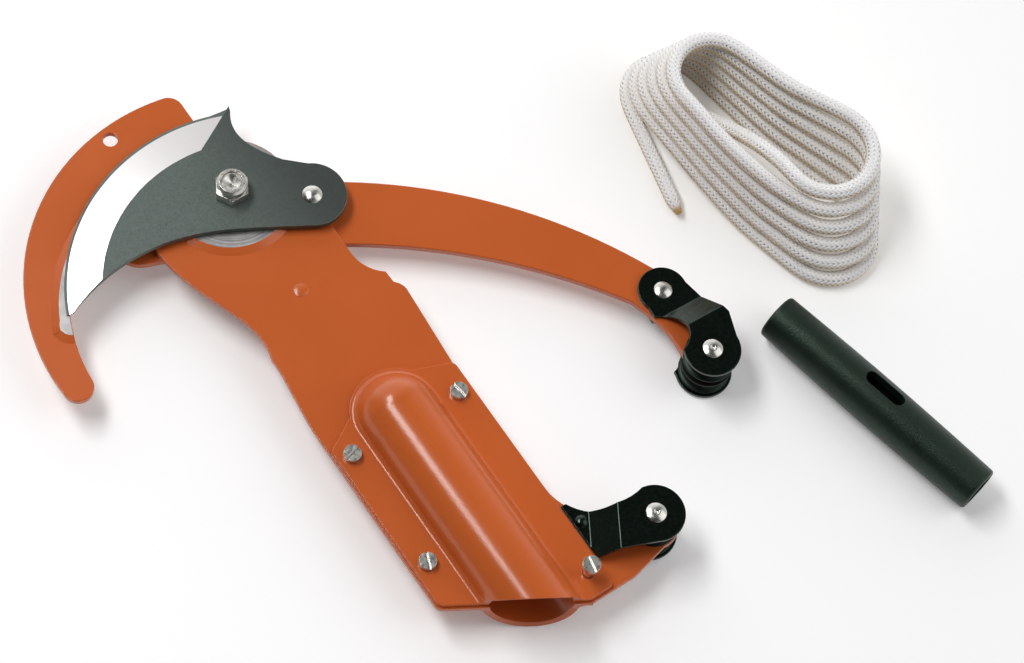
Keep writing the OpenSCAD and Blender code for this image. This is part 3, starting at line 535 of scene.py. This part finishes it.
def hank_points():
    """The rope's ring centres in millimetres, as in the solid model: loops that climb on their left."""
    step, top, turn_rings = 9.8, 5, 11
    near_r, far_r, bulge, pinch = 28.0, 24.0, 4.0, 4.0
    tail, splay, sink_run, sink_in = 76.0, 24.0, 110.0, 26.0
    tail_rings, climb_rings, sink_rings = 4, 4, 8
    run, lean, climb_short = 130.0, math.radians(11.5), 10.0
    near_at = Vector((283.5, 97.0))
    far_at = near_at + run * Vector((-math.sin(lean), math.cos(lean)))
    near_shift, far_shift = Vector((2.2, 6.1)), Vector((1.8, -4.3))
    low = (FLOOR_Z + ROPE_RADIUS) / MM

    def near(i):
        return near_at + i * near_shift

    def far(i):
        return far_at + i * far_shift

    def way(i):
        return (far(i) - near(i)).normalized()

    def side(i):
        return Vector((way(i).y, -way(i).x))

    def near_left(i):
        return near(i) - near_r * side(i)

    def lifted(p, level):
        return Vector((p.x, p.y, low + level * step))

    def heading(i, degrees):
        a = math.radians(degrees)
        return math.cos(a) * side(i) + math.sin(a) * way(i)

    def turn(i, centre, r, start, stop):
        angles = [start + (stop - start) * k / turn_rings for k in range(turn_rings + 1)]
        return [lifted(centre + r * heading(i, angle), i) for angle in angles]

    def climb(i, s):
        a, b = near_left(i), far(i + 1) - far_r * side(i + 1)
        y = near(top).y + (far(top).y - climb_short - near(top).y) * s
        t = (y - a.y) / (b.y - a.y)
        return lifted(a + (b - a) * t - 4 * bulge * t * (1 - t) * side(i), i + s)

    def freed(back):
        return lifted(far(0) + far_r * heading(0, 180 - splay) - back * heading(0, 90 - splay), 0)

    def sunk(t):
        p = near_left(top) + sink_run * t * way(top) + sink_in * math.sin(math.pi / 2 * t) * side(top)
        return lifted(p, top * (1 + math.cos(math.pi * t)) / 2)

    points = [freed(tail * k / tail_rings) for k in range(tail_rings, 0, -1)]
    for i in range(top + 1):
        points += turn(i, far(i), far_r, 180 if i else 180 - splay, 0)
        points.append(lifted((near(i) + far(i)) / 2 + ((near_r + far_r) / 2 - pinch) * side(i), i))
        points += turn(i, near(i), near_r, 0, -180)
        if i < top:
            points += [climb(i, k / climb_rings) for k in range(climb_rings + 1)]
    return points + [sunk(k / sink_rings) for k in range(1, sink_rings + 1)]


def evenly(points, step):
    """The same line with points at an even spacing."""
    line, spare, least_last = [points[0].copy()], 0.0, 0.3 * step
    for a, b in zip(points, points[1:]):
        run = (b - a).length
        at = step - spare
        while at <= run:
            line.append(a.lerp(b, at / run))
            at += step
        spare = run - (at - step)
    if (line[-1] - points[-1]).length > least_last:
        line.append(points[-1].copy())
    return line


def softened(points, spread):
    """The line with its corners eased by a bell-shaped mean over the given number of points."""
    reach = int(3 * spread)
    weights = [math.exp(-0.5 * (k / spread) ** 2) for k in range(-reach, reach + 1)]
    total = sum(weights)
    first, last, count = points[0], points[-1], len(points)
    padded = ([2 * first - points[min(k, count - 1)] for k in range(reach, 0, -1)] + points
              + [2 * last - points[max(count - 1 - k, 0)] for k in range(1, reach + 1)])
    out = []
    for i in range(count):
        p = Vector((0, 0, 0))
        for k, w in enumerate(weights):
            p += w * padded[i + k]
        out.append(p / total)
    return out


def spring_points():
    """Centre line of the return spring in millimetres: a hook, the curls and the other hook."""
    start, foot = Vector((-53.5, 293.5)), Vector((-4, 223))
    curl, ring, turns, low = 3.7, 3.6, 22, -16.0
    curl_points, hook_points = 20, 24
    way = (foot - start).normalized()
    side = Vector((way.y, -way.x))
    run = (foot - start).length - 2 * ring

    def at(along, beside, up):
        p = start + along * way + beside * side
        return Vector((p.x, p.y, low + up))

    def hook(centre, a0, a1):
        turn = [math.radians(a0 + (a1 - a0) * i / hook_points) for i in range(hook_points + 1)]
        return [at(centre + ring * math.cos(a), ring * math.sin(a), curl) for a in turn]

    middle = []
    for i in range(turns * curl_points + 1):
        a = 2 * math.pi * i / curl_points
        middle.append(at(ring + run * i / (turns * curl_points), curl * math.sin(a), curl * math.cos(a)))
    return hook(0, -270, -20) + middle + hook(run + 2 * ring, 160, -90)


def wire_piece(name, points, radius):
    """A round wire along the points, drawn as a curve and made a mesh."""
    curve = bpy.data.curves.new(name, "CURVE")
    curve.dimensions = "3D"
    curve.bevel_depth = radius
    curve.bevel_resolution = 4
    curve.use_fill_caps = True
    spline = curve.splines.new("POLY")
    spline.points.add(len(points) - 1)
    for point, place in zip(spline.points, points):
        point.co = (*(MM * place), 1.0)
    obj = bpy.data.objects.new(name, curve)
    bpy.context.scene.collection.objects.link(obj)
    only(obj)
    bpy.ops.object.convert(target="MESH")
    bpy.ops.object.shade_smooth()
    return bpy.context.view_layer.objects.active


def braided_tube(name, path, radius, sides, rows, stitch, relief):
    """A closed tube along the path with the braid's stitches raised on it and a map that follows the braid.

    Its attribute "lie" holds how far each point's outward way looks up, for the painted shade on the sides
    that face down.
    """
    sunk, tip_sunk = 0.75, 0.35
    end_size, end_growth = 0.4, 0.06
    normal = Vector((0, 0, 1))
    verts, lies, runs, far = [], [], [], 0.0
    for i, p in enumerate(path):
        way = (path[min(i + 1, len(path) - 1)] - path[max(i - 1, 0)]).normalized()
        normal = (normal - normal.dot(way) * way).normalized()
        across = way.cross(normal)
        far += (p - path[i - 1]).length if i else 0.0
        runs.append(far / stitch)
        for k in range(sides):
            row = (k + 0.5) * rows / sides
            lean = 1 if int(row) % 2 else -1
            phase = runs[-1] + lean * STITCH_SLANT * (row % 1 - 0.5)
            tip = tip_sunk if (row % 2 < 0.5 or row % 2 > 1.5) else 0.0
            bump = math.sqrt(abs(math.sin(math.pi * phase))) - sunk - tip
            end = min(i, len(path) - 1 - i)
            taper = min(1.0, end_size + end_growth * end)
            turn = 2 * math.pi * (k + 0.5) / sides
            out = math.cos(turn) * normal + math.sin(turn) * across
            verts.append(p + taper * (radius + relief * bump) * out)
            lies.append(out.z)
    faces, uvs = [], []
    for i in range(len(path) - 1):
        for k in range(sides):
            a, b = i * sides + k, i * sides + (k + 1) % sides
            faces.append((a, b, b + sides, a + sides))
            u, v = rows / sides * (k + 0.5), rows / sides * (k + 1.5)
            uvs += [(u, runs[i]), (v, runs[i]), (v, runs[i + 1]), (u, runs[i + 1])]
    for start, order in ((0, -1), ((len(path) - 1) * sides, 1)):
        faces.append(tuple(start + k for k in range(sides))[::order])
        uvs += [(0.5, runs[start // sides])] * sides
    mesh = bpy.data.meshes.new(name)
    mesh.from_pydata(verts, [], faces)
    layer = mesh.uv_layers.new(name="braid")
    layer.data.foreach_set("uv", [c for uv in uvs for c in uv])
    mesh.attributes.new("lie", "FLOAT", "POINT").data.foreach_set("value", lies)
    obj = bpy.data.objects.new(name, mesh)
    bpy.context.scene.collection.objects.link(obj)
    only(obj)
    bpy.ops.object.shade_smooth()
    return obj


# Operators

class PRUNER_OT_stage(bpy.types.Operator):
    """Set up the camera, the pale floor and the soft light"""
    bl_idname = "pruner.stage"
    bl_label = "Stage"

    def execute(self, context):
        context.scene.view_settings.view_transform = "Standard"
        bpy.ops.object.select_all(action="DESELECT")
        self.camera(context)
        self.floor(context)
        for light in LIGHTS:
            self.light(*light)
        context.scene.world = self.studio()
        return {"FINISHED"}

    def camera(self, context):
        bpy.ops.object.camera_add(location=CAMERA_PLACE, rotation=CAMERA_TURN.to_euler())
        camera = context.object
        camera.data.lens = CAMERA_LENS
        camera.data.sensor_width = CAMERA_SENSOR
        camera.data.clip_end = CAMERA_REACH
        context.scene.camera = camera

    def floor(self, context):
        bpy.ops.mesh.primitive_plane_add(size=FLOOR_SIZE, location=(0.0, 0.0, FLOOR_Z - FLOOR_GAP))
        floor = context.object
        floor.name = "floor"
        cloth = Finish("pale_floor", Roughness=0.9, Specular_IOR_Level=0.0, Emission_Color=WHITE)
        dark, light = ((tone, tone, tone) for tone in FLOOR_TONES)
        cloth.feed("Base Color", cloth.mottle(scale=3.0, dark=dark, light=light)["Tint"])
        cloth.feed("Emission Strength", math_node(cloth.tree, "MULTIPLY", self.seen(cloth.tree), FLOOR_GLOW))
        floor.data.materials.append(cloth.material)

    def studio(self):
        """White surroundings, bright low down and on the far side, and dark overhead and to the left."""
        world = bpy.data.worlds.new("studio")
        world.use_nodes = True
        tree = world.node_tree
        back = tree.nodes["Background"]
        back.inputs["Color"].default_value = WHITE
        way = tree.nodes.new("ShaderNodeTexCoord").outputs["Generated"]
        x, y, z = put(tree, "ShaderNodeSeparateXYZ", [(0, way)]).outputs
        low_walls, far_wall = ramp(tree, z, 0.0, 0.88, 1.0, 0.08), ramp(tree, y, 0.42, 0.62, 0.0, 0.6)
        walls = math_node(tree, "ADD", low_walls, far_wall)
        sky = math_node(tree, "MULTIPLY", walls, ramp(tree, x, -0.55, -0.12, 0.1, 1.0))
        tree.links.new(sky, back.inputs["Strength"])
        return world

    def seen(self, tree):
        """One for rays that show the floor itself, zero for rays that only carry its light."""
        path = tree.nodes.new("ShaderNodeLightPath").outputs
        return math_node(tree, "MAXIMUM", path["Is Camera Ray"],
                         math_node(tree, "MAXIMUM", path["Is Glossy Ray"], path["Is Transmission Ray"]))

    def light(self, name, place, size, power, along):
        """A soft box that faces the middle of the object, with its first side along the given way."""
        back = (Vector(place) - Vector(LIGHT_TARGET)).normalized()
        first = (Vector(along) - back.dot(Vector(along)) * back).normalized()
        turn = Matrix((first, back.cross(first), back)).transposed()
        bpy.ops.object.light_add(type="AREA", location=place, rotation=turn.to_euler())
        lamp = bpy.context.object
        lamp.name = name
        lamp.data.shape = "RECTANGLE"
        lamp.data.size, lamp.data.size_y = size
        lamp.data.energy = power


class PRUNER_OT_rope(bpy.types.Operator):
    """Lay the braided rope in its hank"""
    bl_idname = "pruner.rope"
    bl_label = "Rope hank"

    def execute(self, context):
        own = sizes()
        rings_per_stitch, eased_rings, rings_per_mark = 3, 6.0, 4
        line = softened(evenly(hank_points(), own.stitch / MM / rings_per_stitch), eased_rings)
        path = [MM * p for p in line]
        rope = braided_tube("rope_hank_piece", path, ROPE_RADIUS, own.rope_sides, own.braid_rows,
                            own.stitch, own.relief)
        rope.data.materials.append(braided_cord())
        settle(rope, "rope_hank", "rope")
        return {"FINISHED"}


class PRUNER_OT_painted_steel(bpy.types.Operator):
    """Paint the body plate, the socket cover, the lever and the spring's anchor"""
    bl_idname = "pruner.painted_steel"
    bl_label = "Painted steel"

    def execute(self, context):
        paint, steel, steel_slot = powder_coat(), rubbed_steel(), 1
        own = sizes()
        for node, edge in (("hook_plate", own.plate_edge), ("socket_cover", own.cover_edge),
                           ("lever", own.lever_edge), ("spring_anchor", own.small_edge)):
            piece = dress(node, paint, edge)
            if node == "hook_plate":
                piece.data.materials.append(steel)
                for face in piece.data.polygons:
                    if face.normal.z > LEVEL and face.center.z > RAISED_FROM_Z:
                        face.material_index = steel_slot
        return {"FINISHED"}


class PRUNER_OT_blade(bpy.types.Operator):
    """Finish the blade's dark flats and its ground bevel"""
    bl_idname = "pruner.blade"
    bl_label = "Blade"

    def execute(self, context):
        piece = node_copy("blade")
        for material in (phosphated_steel(), ground_steel(), worn_and_highlit_edge()):
            piece.data.materials.append(material)
        ground_slot, edge_slot = 1, 2
        centre = Vector((*EDGE_CENTRE, 0.0))
        for face in piece.data.polygons:
            out = face.center - centre
            out.z = 0.0
            if BEVEL_SLOPES[0] < 1.0 - face.normal.z < BEVEL_SLOPES[1] and out.length > BEVEL_FROM:
                face.material_index = ground_slot
        # The rounded edges take the lighter edge finish: rubbed wear and a painted highlight
        break_edges(piece, sizes().blade_edge, segments=2, angle=12, edge_slot=edge_slot, crease=6)
        settle(piece, "blade", "blade_lever")
        return {"FINISHED"}


class PRUNER_OT_straps(bpy.types.Operator):
    """Lacquer the joggled straps that carry the pulleys"""
    bl_idname = "pruner.straps"
    bl_label = "Pulley straps"

    def execute(self, context):
        lacquer = dark_finish("black_lacquer", tuple(finishes().lacquer),
                              rough=0.17, grain_scale=500.0, strength=0.015, gloss=0.5)
        for node in ("upper_strap_front", "upper_strap_back", "lower_strap_front", "lower_strap_back"):
            dress(node, lacquer, sizes().strap_edge, angle=15)
        dress("lower_strap_rivet", lacquer, sizes().small_edge, segments=2, angle=50, domed=True)
        return {"FINISHED"}


class PRUNER_OT_pulleys(bpy.types.Operator):
    """Finish the plastic rope pulleys"""
    bl_idname = "pruner.pulleys"
    bl_label = "Pulleys"

    def execute(self, context):
        plastic = dark_finish("pulley_plastic", tuple(finishes().pulley),
                              rough=0.36, grain_scale=1100.0, strength=0.1)
        for node in ("upper_pulley_front", "upper_pulley_back", "lower_pulley_front", "lower_pulley_back"):
            dress(node, plastic, sizes().small_edge)
        return {"FINISHED"}


class PRUNER_OT_rivets(bpy.types.Operator):
    """Finish the bare rivets, axles and spacer"""
    bl_idname = "pruner.rivets"
    bl_label = "Rivets and axles"

    def execute(self, context):
        steel = plated_steel("rivet_steel", tuple(finishes().rivet), roughness=0.24, scale=320.0)
        for node in ("blade_rivet", "rivet_spacer", "upper_strap_rivet", "upper_axle", "lower_axle"):
            dress(node, steel, sizes().small_edge, segments=2, angle=50, domed=True)
        return {"FINISHED"}


class PRUNER_OT_fasteners(bpy.types.Operator):
    """Plate the screws, nuts, washer and pivot bolt"""
    bl_idname = "pruner.fasteners"
    bl_label = "Screws, nuts and bolt"

    def execute(self, context):
        zinc = plated_steel("zinc_plate", tuple(finishes().zinc), roughness=0.3, scale=420.0)
        for node in ("cover_screws", "anchor_screw", "cover_nuts", "pivot_bolt", "pivot_washer", "pivot_nut"):
            dress(node, zinc, sizes().screw_edge)
        return {"FINISHED"}


class PRUNER_OT_spring(bpy.types.Operator):
    """Wind the return spring between its two posts"""
    bl_idname = "pruner.spring"
    bl_label = "Return spring"

    def execute(self, context):
        wire = plated_steel("spring_wire", tuple(finishes().wire), roughness=0.3, scale=700.0)
        points = spring_points()
        piece = wire_piece("return_spring_piece", points, WIRE_RADIUS)
        piece.data.materials.append(wire)
        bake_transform(piece)
        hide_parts("return_spring")
        dress("spring_post", wire, sizes().small_edge, segments=2)
        return {"FINISHED"}


class PRUNER_OT_grip(bpy.types.Operator):
    """Finish the moulded pull grip"""
    bl_idname = "pruner.grip"
    bl_label = "Pull grip"

    def execute(self, context):
        plastic = dark_finish("grip_plastic", tuple(finishes().grip),
                              rough=0.42, grain_scale=1100.0, strength=0.5, gloss=0.5)
        dress("pull_grip", plastic, sizes().small_edge, angle=35)
        return {"FINISHED"}


OPERATORS = (
    PRUNER_OT_stage, PRUNER_OT_rope, PRUNER_OT_painted_steel, PRUNER_OT_blade, PRUNER_OT_straps,
    PRUNER_OT_pulleys, PRUNER_OT_rivets, PRUNER_OT_fasteners, PRUNER_OT_spring, PRUNER_OT_grip,
)


class PRUNER_PT_pieces(bpy.types.Panel):
    """Lists the pruner's pieces"""
    bl_idname = "PRUNER_PT_pieces"
    bl_label = "Tree pruner head"
    bl_space_type = "VIEW_3D"
    bl_region_type = "UI"
    bl_category = "Pruner"

    def draw(self, context):
        for operator in OPERATORS:
            self.layout.operator(operator.bl_idname)
        for own in (context.scene.pruner_finishes, context.scene.pruner_sizes):
            box = self.layout.box()
            for key in own.__annotations__:
                box.prop(own, key)


CLASSES = (PrunerFinishes, PrunerSizes, *OPERATORS, PRUNER_PT_pieces)


def register():
    for cls in CLASSES:
        bpy.utils.register_class(cls)
    bpy.types.Scene.pruner_finishes = bpy.props.PointerProperty(type=PrunerFinishes)
    bpy.types.Scene.pruner_sizes = bpy.props.PointerProperty(type=PrunerSizes)


def unregister():
    del bpy.types.Scene.pruner_sizes
    del bpy.types.Scene.pruner_finishes
    for cls in reversed(CLASSES):
        bpy.utils.unregister_class(cls)


def main():
    register()
    for operator in OPERATORS:
        getattr(bpy.ops.pruner, operator.bl_idname.split(".")[1])()


if __name__ == "__main__":
    main()
